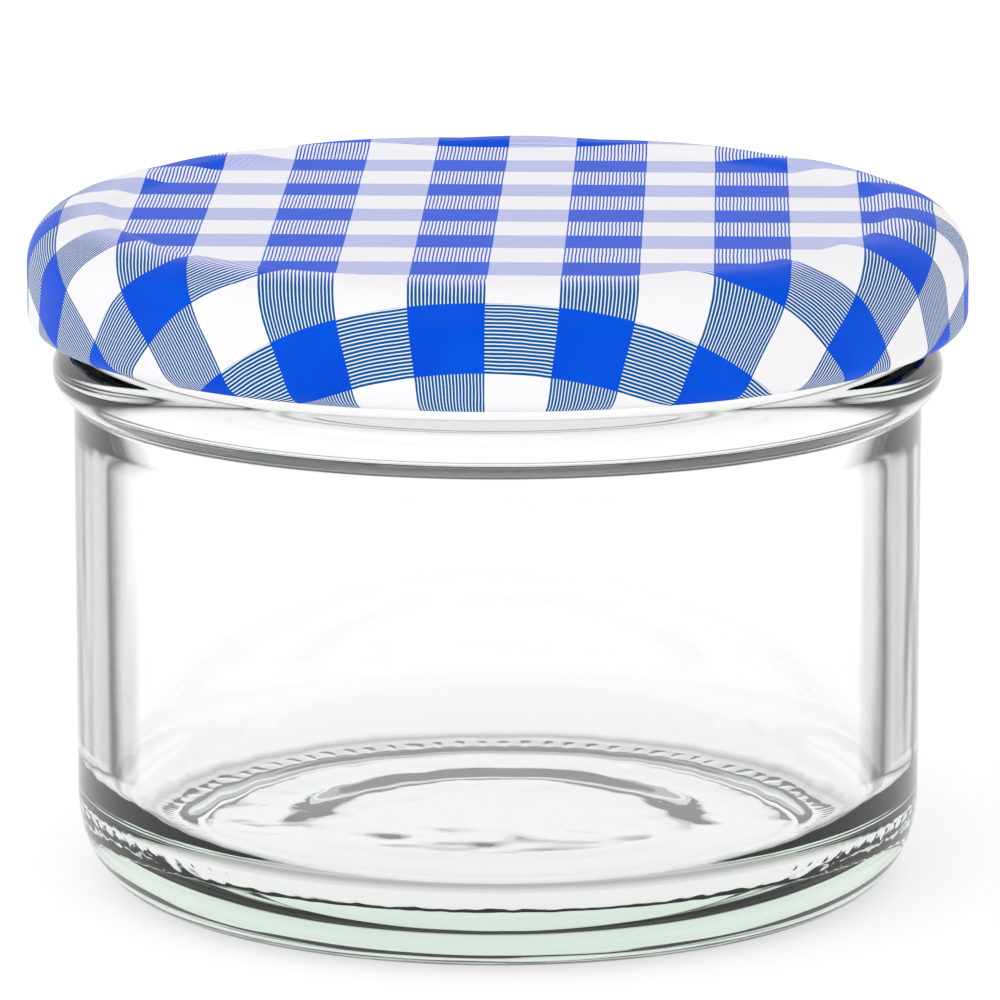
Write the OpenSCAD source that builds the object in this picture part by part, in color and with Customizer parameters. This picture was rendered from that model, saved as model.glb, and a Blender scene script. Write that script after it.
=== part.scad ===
// Wide glass jar for sourdough starter, closed by a printed tinplate twist-off cap.
// Sizes are in millimetres. The jar stands on z = 0 and its axis is the z axis.
// The cap is set on the mouth with its lugs in the gaps between the glass threads.

/* [Jar body] */
// Outer diameter of the straight body
body_d = 77.8; // [76:0.1:78.2]
// Thickness of the glass wall
wall = 3.0; // [2.6:0.1:3.4]
// Height of the glass, from the table to the top of the sealing rim
glass_h = 61.1; // [60.9:0.05:61.1]

/* [Jar base] */
// How far the rounded heel reaches inwards
heel_w = 5.6; // [4.5:0.1:6]
// How far the rounded heel reaches upwards
heel_h = 8.4; // [6:0.1:10]
// Width of the flat ring that the jar stands on
bearing_w = 2.4; // [1.5:0.1:4]
// Height of the hollow under the middle of the base
push_up = 1.8; // [1:0.1:2.6]
// Height of the inside floor at its edge
floor_z = 5.2; // [4.6:0.1:6]
// How far the middle of the inside floor rises above its edge
floor_crown = 0.5; // [0:0.1:1]
// How far the inside corner reaches inwards
corner_w = 6.2; // [5:0.1:8]
// How far the inside corner reaches upwards
corner_h = 6.6; // [5:0.1:9]

/* [Jar neck] */
// Outer diameter of the bead that the glass is carried by while it is made
bead_d = 81.6; // [80.6:0.1:82]
// Height of the middle of the bead
bead_z = 47.9; // [47.4:0.1:48]
// Radius of the bead's rounded edge
bead_round = 2.7; // [2.3:0.1:2.8]
// Radius of the hollow where the bead meets the body and the neck
bead_fillet = 0.7; // [0.4:0.1:0.8]
// Outer diameter of the neck between the bead and the rim
neck_d = 78.0; // [77.6:0.1:78.2]
// Inner diameter of the mouth
mouth_d = 72.6; // [72:0.1:73]
// Outer diameter of the sealing rim
rim_d = 77.4; // [77:0.1:77.6]

/* [Jar threads] */
// Number of threads, and of lugs on the cap
lugs = 6; // [4:1:6]
// Diameter over the threads
thread_d = 81.2; // [80.8:0.1:81.4]
// Angle that one thread covers
thread_sweep = 42; // [36:1:42]
// Angle over which a thread comes down from its open end
thread_ramp = 18; // [14:1:20]
// Height that the ramp loses
thread_rise = 1.3; // [0.8:0.1:1.4]
// Height of the middle of a thread where a lug is tight under it
thread_z = 54.85; // [54.85:0.05:55]

/* [Cap] */
// Outer diameter of the cap
cap_d = 86; // [85.8:0.1:86.4]
// Height of the cap's highest ring above the table
cap_top = 62.5; // [62.5:0.05:62.7]
// Thickness of the tinplate with its lacquer
tin = 0.25; // [0.2:0.01:0.3]
// Outer radius of the shoulder between the top and the skirt
shoulder = 5; // [4.5:0.1:5.4]
// Depth of the flat panel below the ring round it
panel_drop = 0.65; // [0.3:0.05:0.8]
// Diameter of the flat panel
panel_d = 68.8; // [66:0.1:70]
// Width of the step from the panel up to the ring
step_w = 2.4; // [1.5:0.1:2.6]
// Height where the skirt starts to curl inwards
skirt_end = 53.36; // [53.3:0.02:53.5]
// Radius of the first, wider bend of the curl
curl_out = 1.7; // [1.5:0.05:1.8]
// Angle of the first bend
curl_turn = 65; // [60:1:70]
// Radius of the second, tighter bend of the curl
curl_in = 0.75; // [0.65:0.05:0.75]
// Diameter between the tips of two opposite lugs
lug_tip_d = 79.5; // [79.3:0.1:79.8]
// Angle that one lug covers
lug_sweep = 13; // [10:1:13]

/* [Sealing ring] */
// Height of the ring's sealing face, just clear of the glass rim
seal_z = 61.12; // [61.12:0.01:61.2]
// Diameter of the ring's inner edge
seal_inner_d = 71; // [70.6:0.1:71.4]
// Gap between the ring and the tinplate above it
seal_gap = 0.08; // [0.05:0.01:0.1]

/* [Hidden] */
$fn = 180;

body_r = body_d / 2;
bore_r = body_r - wall;
bead_centre_r = bead_d / 2 - bead_round;
neck_r = neck_d / 2;
mouth_r = mouth_d / 2;
rim_round = (rim_d / 2 - mouth_r) / 2;
// Heights where the inside widens from the body to the mouth, and where the neck narrows to the rim
throat_low = 42;
throat_high = 45.5;
neck_end = 58.2;
cap_r = cap_d / 2;
panel_z = cap_top - panel_drop;
pitch = 360 / lugs;
// A thread starts past the edge of the gap that a lug drops through
thread_start = -(pitch - thread_sweep) / 2;
// Section of a thread: share of its reach off the neck and height about its middle, point by point
thread_face = [[0.15, -1.2], [0.8, -0.85], [1, -0.4], [1, 0.35], [0.8, 0.85], [0.15, 1.25]];
// How deep the section's foot is sunk into the neck, and the foot's two heights
thread_sunk = 0.6;
thread_foot_low = -1.35;
thread_foot_high = 1.45;
// Angle of a thread's lower tip, its share of the reach, and how far two stretches overlap
thread_tip = 3;
tip_reach = 0.6;
stretch_overlap = 1;
// The open tip stands this share of the ramp's height up, and falls this far
open_tip_rise = 1.08;
open_tip_drop = 0.3;
// Angle where the curl's second bend sets in after the first, and where it ends
curl_gap = 20;
curl_finish = 300;
// Underside and top of a lug from the end of the skirt, its rounding, and its root inside the curl
lug_below = 1.15;
lug_above = 0.35;
lug_round = 0.5;
lug_root = 0.05;
// A lug's wide part stands back from its tip by this much, and the tip is narrower by this angle
lug_step = 0.45;
lug_step_sweep = 3;
// Inner lip of the sealing ring: width of its flat, width and height of its rounding, and its clearances
lip_flat = 0.6;
lip_round_w = 0.3;
lip_round_h = 0.22;
lip_clear = 0.05;
crest_clear = 0.02;

// Points along a circle about c, from angle a to angle b in n steps
function arc(c, r, a, b, n) =
    [for (i = [0:n]) c + r * [cos(a + (b - a) * i / n), sin(a + (b - a) * i / n)]];

// A quarter of an ellipse that leaves a level line at low and ends going straight up
function rounded_corner(low, w, h, n) =
    [for (i = [0:n]) low + [w * sin(90 * i / n), h * (1 - cos(90 * i / n))]];

// A smooth rise of height h from radius a to radius b, starting at height z
function smooth_step(a, b, z, h, n) =
    [for (i = [0:n]) [a + (b - a) * i / n, z + h * (1 - cos(180 * i / n)) / 2]];

function reversed(p) = [for (i = [len(p) - 1:-1:0]) p[i]];

// Direction to the right of a path at point i
function right_of(p, i) =
    let (a = p[max(i - 1, 0)], b = p[min(i + 1, len(p) - 1)], d = (b - a) / norm(b - a))
    [d[1], -d[0]];

// The same path moved to its right by d
function beside(p, d) = [for (i = [0:len(p) - 1]) p[i] + d * right_of(p, i)];

// How far up or down the hollow between the bead and a wall of radius r is centred
function fillet_rise(r) =
    sqrt(pow(bead_round + bead_fillet, 2) - pow(r + bead_fillet - bead_centre_r, 2));

// Angle of the point where that hollow meets the bead
function fillet_angle(r) = atan2(fillet_rise(r), r + bead_fillet - bead_centre_r);

// Outside of the glass, from the middle of the base to the top of the rim
function glass_outside() = concat(
    [for (i = [0:8]) let (r = (body_r - heel_w - bearing_w) * i / 8)
        [r, push_up * (1 + cos(180 * i / 8)) / 2]],
    rounded_corner([body_r - heel_w, 0], heel_w, heel_h, 10),
    arc([body_r + bead_fillet, bead_z - fillet_rise(body_r)], bead_fillet,
        180, 180 - fillet_angle(body_r), 4),
    arc([bead_centre_r, bead_z], bead_round, -fillet_angle(body_r), fillet_angle(neck_r), 14),
    arc([neck_r + bead_fillet, bead_z + fillet_rise(neck_r)], bead_fillet,
        180 + fillet_angle(neck_r), 180, 4),
    [[neck_r, neck_end]],
    arc([mouth_r + rim_round, glass_h - rim_round], rim_round, 0, 90, 6));

// Inside of the glass, from the rim down to the middle of the floor
function glass_inside() = concat(
    arc([mouth_r + rim_round, glass_h - rim_round], rim_round, 105, 180, 5),
    [[mouth_r, throat_high], [bore_r, throat_low]],
    reversed(rounded_corner([bore_r - corner_w, floor_z], corner_w, corner_h, 10)),
    [for (i = [7:-1:0]) let (r = (bore_r - corner_w) * i / 8)
        [r, floor_z + floor_crown * (1 + cos(180 * i / 8)) / 2]]);

// Section of a thread about height 0; reach is the share of its full height off the neck
function thread_section(reach) =
    let (root = neck_r - thread_sunk, out = (thread_d / 2 - neck_r) * reach)
    concat(
        [[root, thread_foot_low]],
        [for (p = thread_face) [neck_r + p[0] * out, p[1]]],
        [[root, thread_foot_high]]);

// A stretch of thread from angle a to angle b, where it comes down by drop
module thread_stretch(a, b, drop, reach) {
    sweep = a - b;
    length = thread_d / 2 * sin(sweep);
    rotate((a + b) / 2)
        rotate([atan(drop / length), 0, 0])
        rotate(-sweep / 2)
        rotate_extrude(angle = sweep) polygon(thread_section(reach));
}

// One thread: it ramps down from its open end and then runs level, lower at both tips
module thread() {
    ramp_end = thread_start - thread_ramp;
    thread_end = thread_start - thread_sweep;
    translate([0, 0, thread_z + thread_rise / 2])
        thread_stretch(thread_start - thread_tip, ramp_end, thread_rise, 1);
    translate([0, 0, thread_z + thread_rise * open_tip_rise])
        thread_stretch(thread_start, thread_start - thread_tip - stretch_overlap,
                       open_tip_drop, tip_reach);
    translate([0, 0, thread_z])
        thread_stretch(ramp_end + stretch_overlap, thread_end + thread_tip, 0, 1);
    translate([0, 0, thread_z])
        thread_stretch(thread_end + thread_tip + stretch_overlap, thread_end, 0, tip_reach);
}

// Pressed and blown soda glass: heel, straight body, bead, threaded neck and sealing rim in one
module jar() {
    color([0.82, 0.9, 0.86, 0.45]) {
        rotate_extrude() polygon(concat(glass_outside(), glass_inside()));
        for (i = [0:lugs - 1]) rotate(i * pitch) thread();
    }
}

// Outer face of the tinplate, from the middle of the panel to the end of the curl
function cap_outside() =
    let (first = [cap_r - curl_out, skirt_end],
         second = first + (curl_out - curl_in) * [cos(curl_turn), -sin(curl_turn)])
    concat(
        [[0, panel_z]],
        smooth_step(panel_d / 2, panel_d / 2 + step_w, panel_z, panel_drop, 8),
        arc([cap_r - shoulder, cap_top - shoulder], shoulder, 90, 0, 12),
        arc(first, curl_out, 0, -curl_turn, 6),
        arc(second, curl_in, -curl_turn - curl_gap, -curl_finish, 12));

// Drawn tinplate cap: recessed panel, raised ring, shoulder, skirt, inward curl and lugs
module cap_shell() {
    face = cap_outside();
    color([0.35, 0.55, 0.92]) {
        rotate_extrude() polygon(concat(face, reversed(beside(face, tin))));
        for (i = [0:lugs - 1]) rotate(i * pitch) lug();
    }
}

// One lug: the curl pressed flat and inwards, stepped off towards its ends
module lug() {
    lug_sector(lug_tip_d / 2, lug_sweep - lug_step_sweep);
    lug_sector(lug_tip_d / 2 + lug_step, lug_sweep);
}

module lug_sector(tip_r, sweep) {
    low = skirt_end - lug_below;
    high = skirt_end + lug_above;
    outer_r = cap_r - curl_out - lug_root;
    rotate(-sweep / 2) rotate_extrude(angle = sweep)
        polygon(concat(
            [[outer_r, high]],
            arc([tip_r + lug_round, high - lug_round], lug_round, 90, 180, 4),
            arc([tip_r + lug_round, low + lug_round], lug_round, 180, 270, 4),
            [[outer_r, low]]));
}

// Compound flowed into the ring of the cap, cured, with a level face over the glass rim
module sealing_ring() {
    shoulder_in = shoulder - tin - seal_gap;
    centre = [cap_r - shoulder, cap_top - shoulder];
    out_angle = asin((seal_z - centre[1]) / shoulder_in);
    inner_r = seal_inner_d / 2;
    step_low = panel_d / 2;
    along = (inner_r - step_low) / step_w;
    roof = panel_z - tin - seal_gap + panel_drop * (1 - cos(180 * along)) / 2;
    color([0.9, 0.89, 0.84])
        rotate_extrude() polygon(concat(
            [[inner_r, roof - lip_clear]],
            [[step_low + step_w, cap_top - tin - seal_gap - crest_clear]],
            arc(centre, shoulder_in, 90, out_angle, 8),
            [[inner_r + lip_round_w + lip_flat, seal_z],
             [inner_r + lip_round_w, seal_z + lip_round_h]]));
}

jar();
sealing_ring();
cap_shell();
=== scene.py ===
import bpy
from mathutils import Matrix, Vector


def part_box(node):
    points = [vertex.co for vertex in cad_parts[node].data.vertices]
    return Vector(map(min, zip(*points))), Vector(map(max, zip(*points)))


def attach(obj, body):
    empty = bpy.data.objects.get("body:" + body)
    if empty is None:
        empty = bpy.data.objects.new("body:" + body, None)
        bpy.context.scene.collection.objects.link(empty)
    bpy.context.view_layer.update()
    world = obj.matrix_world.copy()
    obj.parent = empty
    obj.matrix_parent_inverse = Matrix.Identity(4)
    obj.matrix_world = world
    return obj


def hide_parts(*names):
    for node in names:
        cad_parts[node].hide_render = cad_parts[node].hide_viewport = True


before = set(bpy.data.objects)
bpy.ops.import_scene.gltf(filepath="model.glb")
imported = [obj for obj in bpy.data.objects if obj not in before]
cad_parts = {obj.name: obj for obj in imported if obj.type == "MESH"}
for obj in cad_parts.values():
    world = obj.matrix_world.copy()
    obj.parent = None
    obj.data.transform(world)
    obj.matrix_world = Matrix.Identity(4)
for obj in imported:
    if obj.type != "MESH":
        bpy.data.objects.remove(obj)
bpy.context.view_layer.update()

import math

import bpy
from mathutils import Vector, noise

# The jar: one piece of soda glass, pressed and then blown in a mould. It has a hollow base with a stippled
# ring that it stands on, a rounded heel, a straight wall, the bead that it was carried by, and a neck with
# six short threads.
mm = 0.001
jar_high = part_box("jar")[1]
rim_z = jar_high.z
bead_r = jar_high.x
body_r = bead_r - 1.9 * mm
bore_r = body_r - 3.0 * mm
neck_r = bead_r - 1.8 * mm
mouth_r = 36.3 * mm
rim_round = 1.2 * mm
bead_z = 47.9 * mm
bead_round = 2.7 * mm
bead_fillet = 0.7 * mm
neck_end = 58.2 * mm
throat_low, throat_high = 42 * mm, 45.5 * mm
heel_w, heel_h = 5.6 * mm, 8.4 * mm
bearing_w = 2.4 * mm
bearing_out = body_r - heel_w
bearing_in = bearing_out - bearing_w
push_up, push_up_edge = 1.8 * mm, 4.5 * mm
lens_r, lens_edge, lens_share = 21 * mm, 6 * mm, 0.38
floor_z, floor_crown = 5.2 * mm, 0.5 * mm
corner_w, corner_h = 6.2 * mm, 6.6 * mm
jar_around = 720
hollow_steps, bearing_steps, curve_steps, fillet_steps = 46, 7, 34, 8
wall_steps, neck_steps, rim_steps, bore_steps, floor_steps = 24, 56, 12, 26, 31


def arc(centre, radius, start, end, steps):
    """Points along a circle, from angle start to angle end in degrees."""
    angles = [math.radians(start + (end - start) * i / steps) for i in range(steps + 1)]
    return [(centre[0] + radius * math.cos(a), centre[1] + radius * math.sin(a)) for a in angles]


def straight(start, end, steps):
    """Points between two places, both left out."""
    return [tuple(a + (b - a) * i / steps for a, b in zip(start, end)) for i in range(1, steps)]


def rounded_corner(low, w, h, steps):
    """A quarter of an ellipse that leaves a level line at low and ends going straight up."""
    turns = [math.pi / 2 * i / steps for i in range(steps + 1)]
    return [(low[0] + w * math.sin(t), low[1] + h * (1 - math.cos(t))) for t in turns]


def smooth(x):
    """0 below 0, 1 above 1 and an even rise between."""
    x = min(max(x, 0.0), 1.0)
    return x * x * (3 - 2 * x)


def bead_meets(wall_r):
    """Where the bead's hollow corner leaves a wall: its height from the bead and its angle in degrees."""
    across = wall_r + bead_fillet - (bead_r - bead_round)
    up = math.sqrt((bead_round + bead_fillet) ** 2 - across ** 2)
    return up, math.degrees(math.atan2(up, across))


def under_base(r):
    """Height of the hollow under the base: a steep edge, a level ring and a shallow dome in the middle."""
    edge = smooth((bearing_in - r) / push_up_edge)
    dome = smooth((lens_r - r) / lens_edge)
    return push_up * ((1 - lens_share) * edge + lens_share * dome)


def glass_outside():
    """The section of the outside, from the middle of the base up to the rim."""
    body_up, body_turn = bead_meets(body_r)
    neck_up, neck_turn = bead_meets(neck_r)
    hollow = [(bearing_in * i / hollow_steps, under_base(bearing_in * i / hollow_steps))
              for i in range(hollow_steps)]
    heel = rounded_corner((bearing_out, 0), heel_w, heel_h, curve_steps)
    under_bead = arc((body_r + bead_fillet, bead_z - body_up), bead_fillet, 180, 180 - body_turn, fillet_steps)
    bead = arc((bead_r - bead_round, bead_z), bead_round, -body_turn, neck_turn, curve_steps)
    over_bead = arc((neck_r + bead_fillet, bead_z + neck_up), bead_fillet, 180 + neck_turn, 180, fillet_steps)
    rim = arc((mouth_r + rim_round, rim_z - rim_round), rim_round, 0, 90, rim_steps)
    return (hollow + [(bearing_in, 0)] + straight((bearing_in, 0), heel[0], bearing_steps) + heel
            + straight(heel[-1], under_bead[0], wall_steps) + under_bead + bead[1:] + over_bead[1:]
            + straight(over_bead[-1], (neck_r, neck_end), neck_steps) + [(neck_r, neck_end)]
            + rim)


def glass_inside():
    """The section of the inside, from the rim down to the middle of the floor."""
    rim = arc((mouth_r + rim_round, rim_z - rim_round), rim_round, 97, 180, rim_steps)
    corner = rounded_corner((bore_r - corner_w, floor_z), corner_w, corner_h, curve_steps)[::-1]
    floor = []
    for i in range(floor_steps - 1, -1, -1):
        r = (bore_r - corner_w) * i / floor_steps
        floor.append((r, floor_z + floor_crown * (1 + math.cos(math.pi * i / floor_steps)) / 2))
    return (rim + straight(rim[-1], (mouth_r, throat_high), rim_steps) + [(mouth_r, throat_high)]
            + straight((mouth_r, throat_high), (bore_r, throat_low), fillet_steps) + [(bore_r, throat_low)]
            + straight((bore_r, throat_low), corner[0], bore_steps) + corner + floor)


threads = 6
thread_reach = 1.6 * mm
thread_sweep, thread_ramp, thread_tip = 42, 18, 4
thread_z, thread_rise = 54.85 * mm, 1.3 * mm
thread_half, thread_face = 1.4 * mm, 0.75 * mm


def thread_height(angle, z):
    """How far the glass stands off the neck at an angle and a height."""
    pitch = 360 / threads
    along = (-(pitch - thread_sweep) / 2 - math.degrees(angle)) % pitch
    if along > thread_sweep:
        return 0.0
    centre = thread_z + thread_rise * max(0.0, 1 - along / thread_ramp)
    tips = smooth(along / thread_tip) * smooth((thread_sweep - along) / thread_tip)
    return thread_reach * tips * smooth((thread_half - abs(z - centre)) / thread_face)


def ripple(angle, z, turns, run):
    """A smooth random value: turns is how often it changes around, run how quickly up the wall."""
    return noise.noise(Vector((turns * math.cos(angle), turns * math.sin(angle), run * z / mm)))


def uneven(angle, r, turns):
    """A smooth random rise or dip of a level face; turns is how often it changes in a millimetre."""
    x, y = r * math.cos(angle) / mm, r * math.sin(angle) / mm
    return unevenness * noise.noise(Vector((turns * x, turns * y, 7.0)))


outside, inside = glass_outside(), glass_inside()
near = 0.01 * mm
stipples, stipple_h = 90, 0.11 * mm
unevenness = 0.05 * mm
broad_streak, fine_streak = 0.04 * mm, 0.015 * mm
crease_h = 0.16 * mm
crease_z, crease_reach = 6.2 * mm, 1.6 * mm
crease_from, crease_fade = 26 * mm, 2 * mm


def glass_surface(angle, r, z, k):
    """Adds threads, stippling and the slight waves of blown glass to a point of the section."""
    if k < len(outside):
        if z > bead_z + bead_round and r >= neck_r - near:
            return r + thread_height(angle, z), z
        if z < near and bearing_in < r < bearing_out:
            across = math.sin(math.pi * (r - bearing_in) / bearing_w)
            pressed = 0.7 + 0.6 * ripple(angle, 0, 20, 0)
            return r, stipple_h * across * pressed * max(0.0, math.sin(stipples * angle)) ** 2
        if r < bearing_in:
            return r, z + uneven(angle, r, 0.25) * smooth(z / mm)
        return r, z
    if z > throat_low:
        return r, z
    if r > bore_r - corner_w:
        streaks = broad_streak * ripple(angle, z, 4, 0.03) + fine_streak * ripple(angle, z, 15, 0.06)
        ragged = smooth(1 - abs(z - crease_z) / crease_reach) * smooth((r - crease_from) / crease_fade)
        crease = crease_h * ragged * ripple(angle, z, 26, 1.6)
        return r + streaks + crease, z + crease
    return r, z + uneven(angle, r, 0.14)


def make_piece(name, points, faces):
    """A smooth-shaded object of its own from points and faces."""
    mesh = bpy.data.meshes.new(name)
    mesh.from_pydata(points, [], faces)
    mesh.shade_smooth()
    piece = bpy.data.objects.new(name, mesh)
    bpy.context.scene.collection.objects.link(piece)
    return piece


def turned(name, path, around, surface):
    """A closed piece turned about the z axis from (radius, height) points; surface moves each one."""
    points, rings, faces = [], [], []
    for k, (r, z) in enumerate(path):
        if r == 0:
            rings.append([len(points)] * around)
            points.append((0, 0, z))
            continue
        rings.append(list(range(len(points), len(points) + around)))
        for i in range(around):
            angle = 2 * math.pi * i / around
            out, up = surface(angle, r, z, k)
            points.append((out * math.cos(angle), out * math.sin(angle), up))
    for lower, upper in zip(rings, rings[1:]):
        for i in range(around):
            j = (i + 1) % around
            faces.append(tuple(dict.fromkeys((lower[i], lower[j], upper[j], upper[i]))))
    return make_piece(name, points, faces)


def new_material(name):
    """An empty node material and the output that its shader goes to."""
    material = bpy.data.materials.new(name)
    material.use_nodes = True
    material.node_tree.nodes.clear()
    return material, material.node_tree, material.node_tree.nodes.new("ShaderNodeOutputMaterial")


def put(tree, kind, inputs, **settings):
    """Adds a node; each input is a number, a colour or the output that feeds it. Returns its first output."""
    made = tree.nodes.new(kind)
    for key, value in settings.items():
        setattr(made, key, value)
    for key, value in inputs.items():
        if isinstance(value, bpy.types.NodeSocket):
            tree.links.new(value, made.inputs[key])
        else:
            made.inputs[key].default_value = value
    return next(o for o in made.outputs if o.enabled)


def tone_along(tree, value, stops):
    """A colour that follows a value through (position, colour) stops."""
    ramp = tree.nodes.new("ShaderNodeValToRGB")
    tree.links.new(value, ramp.inputs["Fac"])
    ramp.color_ramp.elements[0].position, ramp.color_ramp.elements[0].color = stops[0]
    ramp.color_ramp.elements[1].position, ramp.color_ramp.elements[1].color = stops[-1]
    for position, colour in stops[1:-1]:
        ramp.color_ramp.elements.new(position).color = colour
    return ramp.outputs["Color"]


thick_green, green_density = (0.3, 0.62, 0.38, 1), 6.5
glass_shade = (0.93, 0.955, 0.94, 1)
# Painted shade: how far the glass is mixed toward black where rays graze out from inside, in place of dark
# surroundings seen in the edges.
painted_edge_shade = ((0.215, 0.0), (0.235, 0.3), (0.25, 0.85), (0.262, 0.3), (0.30, 0.0))


def clear_glass():
    """Clear soda glass: faintly green where it is thick, with painted shade that turns it grey where rays only
    just graze out of its inner faces, standing in for dark surroundings.
    """
    material, tree, output = new_material("clear_glass")
    place = tree.nodes.new("ShaderNodeTexCoord").outputs["Object"]
    edge = tree.nodes.new("ShaderNodeLayerWeight")
    edge.inputs["Blend"].default_value = 0.5
    from_inside = tree.nodes.new("ShaderNodeNewGeometry").outputs["Backfacing"]
    slant = put(tree, "ShaderNodeMath", {0: edge.outputs["Facing"], 1: from_inside}, operation="MULTIPLY")
    height = tree.nodes.new("ShaderNodeSeparateXYZ")
    tree.links.new(place, height.inputs[0])
    in_wall = put(tree, "ShaderNodeMapRange", {
        "Value": height.outputs["Z"], "From Min": heel_h, "From Max": 1.5 * heel_h})
    slant = put(tree, "ShaderNodeMath", {0: slant, 1: in_wall}, operation="MULTIPLY")
    # Painted shade: a grey from the grazing angle alone, above the heel.
    painted_edge_grey = tone_along(tree, slant, [(position, (grey_level, grey_level, grey_level, 1)) for position, grey_level in painted_edge_shade])
    waves = put(tree, "ShaderNodeTexNoise", {"Vector": place, "Scale": 90.0, "Detail": 2.0})
    bump = put(tree, "ShaderNodeBump", {"Height": waves, "Strength": 0.02, "Distance": 0.001})
    glass = put(tree, "ShaderNodeBsdfPrincipled", {
        "Base Color": (1, 1, 1, 1), "Roughness": 0.0, "IOR": 1.5,
        "Transmission Weight": 1.0, "Normal": bump})
    painted_shade_black = put(tree, "ShaderNodeBsdfDiffuse", {"Color": (0, 0, 0, 1)})
    wall = put(tree, "ShaderNodeMixShader", {0: painted_edge_grey, 1: glass, 2: painted_shade_black})
    shade = put(tree, "ShaderNodeBsdfTransparent", {"Color": glass_shade})
    shadow_ray = tree.nodes.new("ShaderNodeLightPath").outputs["Is Shadow Ray"]
    seen = put(tree, "ShaderNodeMixShader", {0: shadow_ray, 1: wall, 2: shade})
    tree.links.new(seen, output.inputs["Surface"])
    green = put(tree, "ShaderNodeVolumeAbsorption", {"Color": thick_green, "Density": green_density})
    tree.links.new(green, output.inputs["Volume"])
    return material


jar = turned("glass_jar", outside + inside, jar_around, glass_surface)
jar.data.materials.append(clear_glass())
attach(jar, "jar")
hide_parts("jar")

# The sealing ring: soft off-white compound, flowed into the ring of the cap and cured there. Its level face
# lies on the glass rim, and its inner edge shows as a thin rounded lip inside the cap.
ring_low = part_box("sealing_ring")[0]
cap_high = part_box("cap_shell")[1]
tin = 0.25 * mm
shoulder = 5 * mm
cap_r, cap_top = cap_high.x, cap_high.z
panel_drop = 0.65 * mm
panel_r, step_w = 34.4 * mm, 2.4 * mm
panel_z = cap_top - panel_drop
seal_z = ring_low.z
seal_in = 35.5 * mm
seal_gap = 0.08 * mm
inner_clear, crest_clear = 0.05 * mm, 0.02 * mm
lip_round, lip_w, level_from = 0.25 * mm, 0.3 * mm, 1.2 * mm
ring_around = 360
shoulder_steps, level_steps, lip_steps = 16, 12, 8


def ring_section():
    """The ring's closed section, with a rounded lip inside and the curve of the cap's shoulder outside."""
    centre = (cap_r - shoulder, cap_top - shoulder)
    reach = shoulder - tin - seal_gap
    out = math.degrees(math.asin((seal_z - centre[1]) / reach))
    across = (seal_in - panel_r) / step_w
    roof = panel_z - tin - seal_gap + panel_drop * (1 - math.cos(math.pi * across)) / 2
    top = [(seal_in, roof - inner_clear), (panel_r + step_w, cap_top - tin - seal_gap - crest_clear)]
    curve = arc(centre, reach, 90, out, shoulder_steps)
    level_end = (centre[0] + reach * math.cos(math.radians(out)), seal_z)
    level = straight(level_end, (seal_in + level_from, seal_z), level_steps)
    lip = arc((seal_in + lip_w, seal_z + lip_round), lip_round, 265, 180, lip_steps)
    return top + curve + level + lip


def closed_ring(name, section, around):
    """A piece turned about the z axis whose section closes on itself."""
    points = [(r * math.cos(2 * math.pi * i / around), r * math.sin(2 * math.pi * i / around), z)
              for r, z in section for i in range(around)]
    faces = []
    for k in range(len(section)):
        lower, upper = k * around, (k + 1) % len(section) * around
        for i in range(around):
            j = (i + 1) % around
            faces.append((upper + i, upper + j, lower + j, lower + i))
    return make_piece(name, points, faces)


compound_dark, compound_light = (0.66, 0.64, 0.56, 1), (0.82, 0.81, 0.75, 1)


def compound():
    """Cured compound: satin, with the faint mottle and pinholes of a flowed surface."""
    material, tree, output = new_material("sealing_compound")
    place = tree.nodes.new("ShaderNodeTexCoord").outputs["Object"]
    mottle = put(tree, "ShaderNodeTexNoise", {"Vector": place, "Scale": 420.0, "Detail": 4.0})
    tone = tone_along(tree, mottle, [(0, compound_dark), (1, compound_light)])
    bump = put(tree, "ShaderNodeBump", {"Height": mottle, "Strength": 0.15, "Distance": 0.0001})
    shader = put(tree, "ShaderNodeBsdfPrincipled", {"Base Color": tone, "Roughness": 0.55, "Normal": bump})
    tree.links.new(shader, output.inputs["Surface"])
    return material


seal = closed_ring("sealing_compound_ring", ring_section(), ring_around)
seal.data.materials.append(compound())
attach(seal, "cap_seal")
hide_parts("sealing_ring")

# The cap: a drawn tinplate shell, printed with a blue and white check while it was still a flat sheet. The
# press made the flat panel, the ring round it, the shoulder and skirt, rolled the edge inwards and pressed
# six lugs from the curl.
skirt_end = 53.36 * mm
curl_out, curl_turn, curl_in = 1.7 * mm, 65, 0.75 * mm
curl_start, curl_finish = 8, 300
lugs, lug_sweep, lug_flank, lug_press = 6, 13, 2.2, 1.35 * mm
cap_around = 720
panel_steps, step_steps, shoulder_points, skirt_steps = 24, 16, 36, 14
first_steps, curl_steps, end_steps = 12, 24, 6


def cap_face():
    """The outer face's section, from the middle of the panel to the end of the curl."""
    first = (cap_r - curl_out, skirt_end)
    turn = math.radians(curl_turn)
    inset = curl_out - curl_in
    second = (first[0] + inset * math.cos(turn), first[1] - inset * math.sin(turn))
    panel = [(panel_r * i / panel_steps, panel_z) for i in range(panel_steps)]
    step = []
    for i in range(step_steps + 1):
        rise = panel_drop * (1 - math.cos(math.pi * i / step_steps)) / 2
        step.append((panel_r + step_w * i / step_steps, panel_z + rise))
    skirt_top = (cap_r, cap_top - shoulder)
    return (panel + step + arc((cap_r - shoulder, cap_top - shoulder), shoulder, 90, 0, shoulder_points)
            + straight(skirt_top, (cap_r, skirt_end), skirt_steps)
            + arc(first, curl_out, 0, -curl_turn, first_steps)
            + arc(second, curl_in, -curl_turn - curl_start, -curl_finish, curl_steps))


def beside(path, distance):
    """The same path, moved to its right by a distance."""
    moved = []
    for i, (r, z) in enumerate(path):
        before, after = path[max(i - 1, 0)], path[min(i + 1, len(path) - 1)]
        along = Vector((after[0] - before[0], after[1] - before[1])).normalized()
        moved.append((r + distance * along.y, z - distance * along.x))
    return moved


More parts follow.
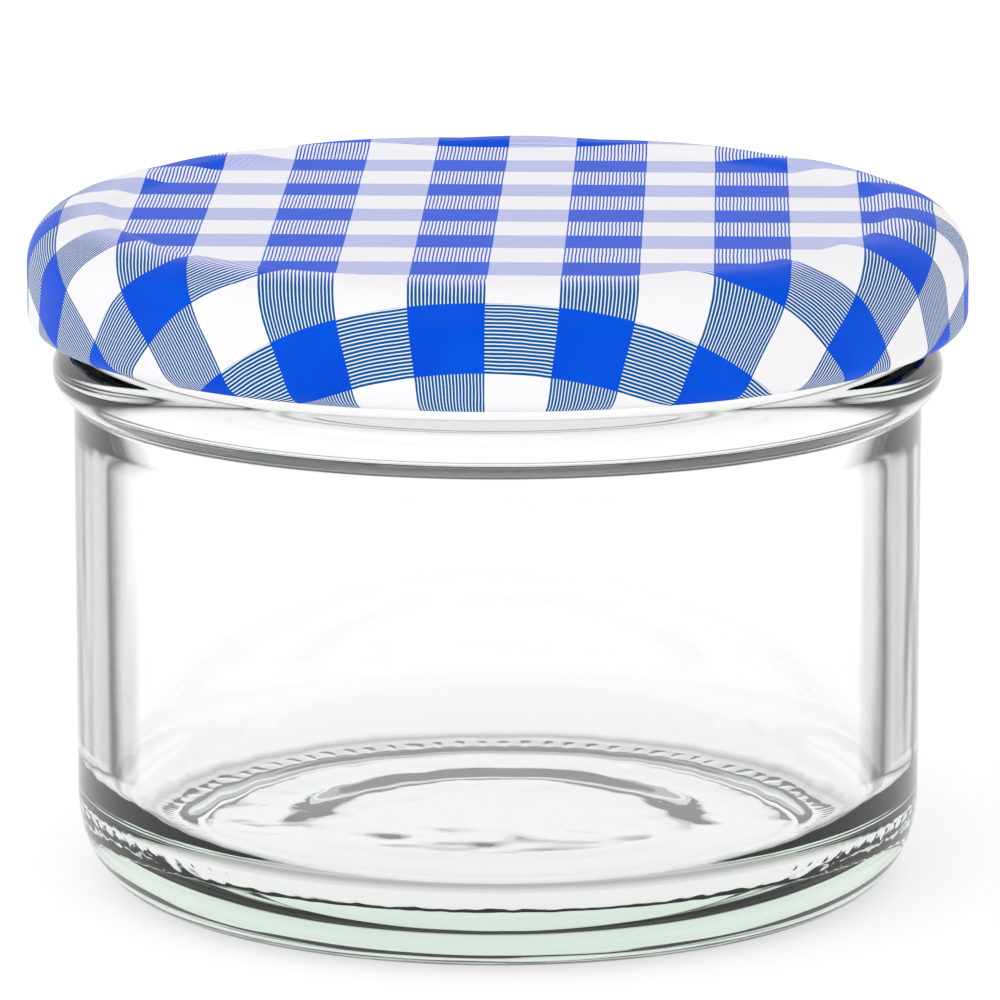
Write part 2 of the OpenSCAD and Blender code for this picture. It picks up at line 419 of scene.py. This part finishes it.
outer_face = cap_face()
inner_face = beside(outer_face, tin)
inner_face[0] = (0.0, panel_z - tin)
cap_path = inner_face + outer_face[::-1]
sheet_length = [0.0]
for a, b in zip(outer_face, outer_face[1:]):
    sheet_length.append(sheet_length[-1] + math.dist(a, b))
length_at = sheet_length + sheet_length[::-1]
crest_length = sheet_length[panel_steps + step_steps]
curl_length = sheet_length[-curl_steps - 1]
crest_dip, crest_folds, fold_drift = 0.17 * mm, 15, 2.2
fold_middle, fold_reach = 1.5 * mm, 5.0 * mm
crest_reach, shoulder_fade = 3 * mm, 2 * mm
curl_near = 0.2 * mm


def cap_surface(angle, r, z, k):
    """Adds the lugs and the soft, uneven flats that drawing leaves round the crest to a section's point."""
    s = length_at[k]
    near_crest = smooth(1 - abs(s - crest_length - fold_middle) / fold_reach)
    drift = noise.noise(Vector((2 * math.cos(angle), 2 * math.sin(angle), 4.0)))
    flat = abs(math.sin((crest_folds * angle + fold_drift * drift) / 2))
    dip = crest_dip * near_crest * (1 - flat)
    if z > panel_z - 2 * tin and r < cap_r - shoulder + crest_reach:
        z = z - dip
    r = r - dip * smooth((r - (cap_r - shoulder)) / shoulder_fade)
    if s > curl_length - curl_near and r < cap_r - curl_out + curl_near:
        pitch = 2 * math.pi / lugs
        off = abs((angle + pitch / 2) % pitch - pitch / 2)
        press = smooth((math.radians(lug_sweep / 2) - off) / math.radians(lug_flank))
        r = r + press * lug_press * (r - (cap_r - curl_out)) / (2 * curl_in)
    return r, z


check = 13.3 * mm
print_turn = math.radians(1.68)
column_start, row_start = 6.49 * mm, -4.9 * mm
dark_column, dark_row = 0.515, 0.477
lines_in_check, panel_line, skirt_line = 40, 0.45, 0.68
line_drift = 0.012
print_slip, slip_end = 3.3 * mm, 41.7 * mm
skirt_from, skirt_full = 37.5 * mm, 40.5 * mm
# The third blue is a darker ink for the single lines towards the skirt: painted shade.
blue_thin, blue_full, blue_painted_shade = (0.0, 0.068, 0.66, 1), (0.0, 0.09, 0.76, 1), (0.0, 0.10, 0.34, 1)
enamel = (0.92, 0.92, 0.945, 1)


def print_place(s, angle):
    """Which check of the flat print a place of the drawn cap carries, counted across and up the sheet."""
    x, y = s * math.cos(angle), s * math.sin(angle)
    y += print_slip * smooth((s - panel_r) / (slip_end - panel_r))
    column = x * math.cos(print_turn) - y * math.sin(print_turn) - column_start
    row = y * math.cos(print_turn) + x * math.sin(print_turn) - row_start
    return column / check, row / check


def blend_colour(tree, share, first, second):
    """A colour between two, by share."""
    mixed = tree.nodes.new("ShaderNodeMix")
    mixed.data_type = "RGBA"
    share_in, first_in, second_in = mixed.inputs[0], mixed.inputs[6], mixed.inputs[7]
    tree.links.new(share, share_in)
    for socket, value in ((first_in, first), (second_in, second)):
        if isinstance(value, bpy.types.NodeSocket):
            tree.links.new(value, socket)
        else:
            socket.default_value = value
    return next(o for o in mixed.outputs if o.enabled)


def ink_pattern(tree, skirt_shade):
    """The check as ink from 0 to 1: solid where two bands cross, and fine lines where one band is alone.

    The lines are painted heavier and darker towards the skirt: painted shade that makes the skirt darker than
    the panel, where sheen makes the panel look paler.
    """
    line_share = put(tree, "ShaderNodeMapRange", {"Value": skirt_shade, "To Min": panel_line, "To Max": skirt_line})
    cells = put(tree, "ShaderNodeUVMap", {}, uv_map="flat_print")
    drift = put(tree, "ShaderNodeTexNoise", {
        "Vector": cells, "Scale": 4.0, "Detail": 3.0}, noise_dimensions="2D")
    shift = put(tree, "ShaderNodeMath", {0: drift, 1: 0.5}, operation="SUBTRACT")
    shift = put(tree, "ShaderNodeMath", {0: shift, 1: line_drift}, operation="MULTIPLY")
    split = tree.nodes.new("ShaderNodeSeparateXYZ")
    tree.links.new(cells, split.inputs[0])
    bands, lines = [], []
    for axis, share in (("X", dark_column), ("Y", dark_row)):
        across = put(tree, "ShaderNodeMath", {0: split.outputs[axis], 1: shift}, operation="ADD")
        part = put(tree, "ShaderNodeMath", {0: split.outputs[axis]}, operation="FRACT")
        bands.append(put(tree, "ShaderNodeMath", {0: part, 1: share}, operation="LESS_THAN"))
        fine = put(tree, "ShaderNodeMath", {0: across, 1: float(lines_in_check)}, operation="MULTIPLY")
        fine = put(tree, "ShaderNodeMath", {0: fine}, operation="FRACT")
        lines.append(put(tree, "ShaderNodeMath", {0: fine, 1: line_share}, operation="LESS_THAN"))
    column = put(tree, "ShaderNodeMath", {0: bands[1], 1: lines[0]}, operation="MAXIMUM")
    column = put(tree, "ShaderNodeMath", {0: bands[0], 1: column}, operation="MULTIPLY")
    row = put(tree, "ShaderNodeMath", {0: bands[1], 1: lines[1]}, operation="MULTIPLY")
    solid = put(tree, "ShaderNodeMath", {0: bands[0], 1: bands[1]}, operation="MULTIPLY")
    return put(tree, "ShaderNodeMath", {0: column, 1: row}, operation="MAXIMUM"), solid


def printed_lacquer():
    """Blue ink on white enamel under clear lacquer, with slight differences of ink and an even orange peel."""
    material, tree, output = new_material("printed_tinplate")
    place = tree.nodes.new("ShaderNodeTexCoord").outputs["Object"]
    skirt_shade = put(tree, "ShaderNodeVectorMath", {0: place, 1: (1, 1, 0)}, operation="MULTIPLY")
    skirt_shade = put(tree, "ShaderNodeVectorMath", {0: skirt_shade}, operation="LENGTH")
    # Painted shade: from the edge of the panel out to the skirt, the single lines grow heavier and darker.
    skirt_shade = put(tree, "ShaderNodeMapRange", {"Value": skirt_shade, "From Min": skirt_from, "From Max": skirt_full})
    ink, solid = ink_pattern(tree, skirt_shade)
    cloud = put(tree, "ShaderNodeTexNoise", {"Vector": place, "Scale": 130.0, "Detail": 4.0})
    blue = tone_along(tree, cloud, [(0.3, blue_thin), (0.7, blue_full)])
    lined = put(tree, "ShaderNodeMath", {0: 1.0, 1: solid}, operation="SUBTRACT")
    lined = put(tree, "ShaderNodeMath", {0: lined, 1: skirt_shade}, operation="MULTIPLY")
    inks = blend_colour(tree, lined, blue, blue_painted_shade)
    colour = blend_colour(tree, ink, enamel, inks)
    peel = put(tree, "ShaderNodeTexNoise", {"Vector": place, "Scale": 900.0, "Detail": 2.0})
    bump = put(tree, "ShaderNodeBump", {"Height": peel, "Strength": 0.05, "Distance": 0.0001})
    rough = put(tree, "ShaderNodeMapRange", {"Value": cloud, "To Min": 0.34, "To Max": 0.44})
    shader = put(tree, "ShaderNodeBsdfPrincipled", {
        "Base Color": colour, "Roughness": rough, "Specular IOR Level": 0.04, "Normal": bump})
    tree.links.new(shader, output.inputs["Surface"])
    return material


lacquer_dark, lacquer_light = (0.80, 0.80, 0.78, 1), (0.87, 0.87, 0.86, 1)


def inside_lacquer():
    """White sanitary lacquer inside the cap, with the faint flow marks of a sprayed coat."""
    material, tree, output = new_material("inside_lacquer")
    place = tree.nodes.new("ShaderNodeTexCoord").outputs["Object"]
    flow = put(tree, "ShaderNodeTexNoise", {"Vector": place, "Scale": 160.0, "Detail": 3.0})
    tone = tone_along(tree, flow, [(0, lacquer_dark), (1, lacquer_light)])
    bump = put(tree, "ShaderNodeBump", {"Height": flow, "Strength": 0.05, "Distance": 0.0002})
    shader = put(tree, "ShaderNodeBsdfPrincipled", {"Base Color": tone, "Roughness": 0.35, "Normal": bump})
    tree.links.new(shader, output.inputs["Surface"])
    return material


cap = turned("tinplate_cap", cap_path, cap_around, cap_surface)
cap.data.materials.append(printed_lacquer())
cap.data.materials.append(inside_lacquer())
flat_print = cap.data.uv_layers.new(name="flat_print")
ring_of = []
for k, (r, z) in enumerate(cap_path):
    ring_of += [k] * (1 if r == 0 else cap_around)
printed_from = len(inner_face) - end_steps
for face in cap.data.polygons:
    first_ring = min(ring_of[v] for v in face.vertices)
    face.material_index = 0 if first_ring >= printed_from else 1
    for loop in face.loop_indices:
        vertex = cap.data.loops[loop].vertex_index
        x, y, z = cap.data.vertices[vertex].co
        flat_print.data[loop].uv = print_place(length_at[ring_of[vertex]], math.atan2(y, x))
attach(cap, "cap")
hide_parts("cap_shell")

# The floor: a plain white table under plain soft light, which keeps the jar's shadow. Seen through the glass
# it glows brighter, and a painted shadow, a dark ring close under the heel that shows only through the glass,
# makes the edge of the base show.
floor_half = 4.0
floor_gap = 0.02 * mm
table_tone, table_glow = (0.52, 0.52, 0.52, 1), 0.64
through_glass, painted_heel_shadow = 0.7, 0.5


def white_table():
    """A matt white lit table: it glows a little, so that it is plain white with a light shadow."""
    material, tree, output = new_material("white_table")
    through = tree.nodes.new("ShaderNodeLightPath").outputs["Is Transmission Ray"]
    matt = put(tree, "ShaderNodeBsdfDiffuse", {"Color": table_tone})
    glow = put(tree, "ShaderNodeEmission", {"Color": (1, 1, 1, 1), "Strength": table_glow})
    lit = put(tree, "ShaderNodeAddShader", {0: matt, 1: glow})
    bright = put(tree, "ShaderNodeEmission", {"Color": (1, 1, 1, 1), "Strength": 1.0})
    brighter = put(tree, "ShaderNodeMath", {0: through, 1: through_glass}, operation="MULTIPLY")
    seen = put(tree, "ShaderNodeMixShader", {0: brighter, 1: lit, 2: bright})
    # Painted shadow: a ring on the table close under the heel is mixed toward black, for rays that came
    # through the glass only.
    place = tree.nodes.new("ShaderNodeNewGeometry").outputs["Position"]
    away = put(tree, "ShaderNodeVectorMath", {0: place}, operation="LENGTH")
    heel = put(tree, "ShaderNodeMath", {0: away, 1: body_r - heel_w / 2}, operation="SUBTRACT")
    heel = put(tree, "ShaderNodeMath", {0: heel}, operation="ABSOLUTE")
    heel = put(tree, "ShaderNodeMapRange", {
        "Value": heel, "From Min": 0.0, "From Max": heel_w / 2, "To Min": painted_heel_shadow, "To Max": 0.0})
    heel_shadow_share = put(tree, "ShaderNodeMath", {0: heel, 1: through}, operation="MULTIPLY")
    painted_shadow_black = put(tree, "ShaderNodeBsdfDiffuse", {"Color": (0, 0, 0, 1)})
    surface = put(tree, "ShaderNodeMixShader", {0: heel_shadow_share, 1: seen, 2: painted_shadow_black})
    tree.links.new(surface, output.inputs["Surface"])
    return material


corners = [(x * floor_half, y * floor_half, 0) for x, y in ((-1, -1), (1, -1), (1, 1), (-1, 1))]
table = make_piece("table", corners, [(0, 1, 2, 3)])
table.location.z = -floor_gap
table.data.materials.append(white_table())

# The light: an even white room and one wide soft light from above, a little to the left and in front. The
# room is plain white where it is seen, and dimmer as a light, so that white enamel keeps its tone. Its grey
# ceiling shows in gloss and glass, and draws the dark lines along the bead and the rim.
room_light = 0.72
ceiling_from, ceiling_full, ceiling_tone = 0.35, 0.75, 0.4
world = bpy.data.worlds.new("white_room")
bpy.context.scene.world = world
world.use_nodes = True
room = world.node_tree
room.nodes.clear()
rays = room.nodes.new("ShaderNodeLightPath")
upward = room.nodes.new("ShaderNodeSeparateXYZ")
room.links.new(room.nodes.new("ShaderNodeTexCoord").outputs["Generated"], upward.inputs[0])
ceiling = put(room, "ShaderNodeMapRange", {
    "Value": upward.outputs["Z"], "From Min": ceiling_from, "From Max": ceiling_full,
    "To Min": 1.0, "To Max": ceiling_tone}, interpolation_type="SMOOTHSTEP")
reflected = put(room, "ShaderNodeMath", {
    0: rays.outputs["Is Glossy Ray"], 1: rays.outputs["Is Transmission Ray"]}, operation="MAXIMUM")
level = put(room, "ShaderNodeMix", {
    "Factor": reflected, "A": room_light, "B": ceiling}, data_type="FLOAT")
level = put(room, "ShaderNodeMix", {
    "Factor": rays.outputs["Is Camera Ray"], "A": level, "B": 1.0}, data_type="FLOAT")
background = put(room, "ShaderNodeBackground", {"Color": (1, 1, 1, 1), "Strength": level})
room.links.new(background, room.nodes.new("ShaderNodeOutputWorld").inputs["Surface"])

lamp_energy, lamp_width, lamp_lean, lamp_side = 0.9, 60, 28, -14
lamp = bpy.data.lights.new("soft_light", "SUN")
lamp.energy = lamp_energy
lamp.angle = math.radians(lamp_width)
soft_light = bpy.data.objects.new("soft_light", lamp)
soft_light.rotation_euler = (math.radians(lamp_lean), math.radians(lamp_side), 0)
bpy.context.scene.collection.objects.link(soft_light)

# The camera stands where the photograph was taken from: 690 mm in front of the jar and about 12 degrees down.
camera_aside, camera_away, camera_up = 0.2 * mm, 690 * mm, 184.5 * mm
camera_tilt = 77.77
camera_data = bpy.data.cameras.new("camera")
camera_data.sensor_width = 36
camera_data.lens = 276.1
camera = bpy.data.objects.new("camera", camera_data)
camera.location = (camera_aside, -camera_away, camera_up)
camera.rotation_euler = (math.radians(camera_tilt), 0, 0)
camera_data.clip_start, camera_data.clip_end = 0.01, 20
bpy.context.scene.collection.objects.link(camera)
bpy.context.scene.camera = camera
bpy.context.scene.view_settings.view_transform = "Standard"
bpy.context.scene.cycles.caustics_refractive = False
bpy.context.scene.cycles.caustics_reflective = False
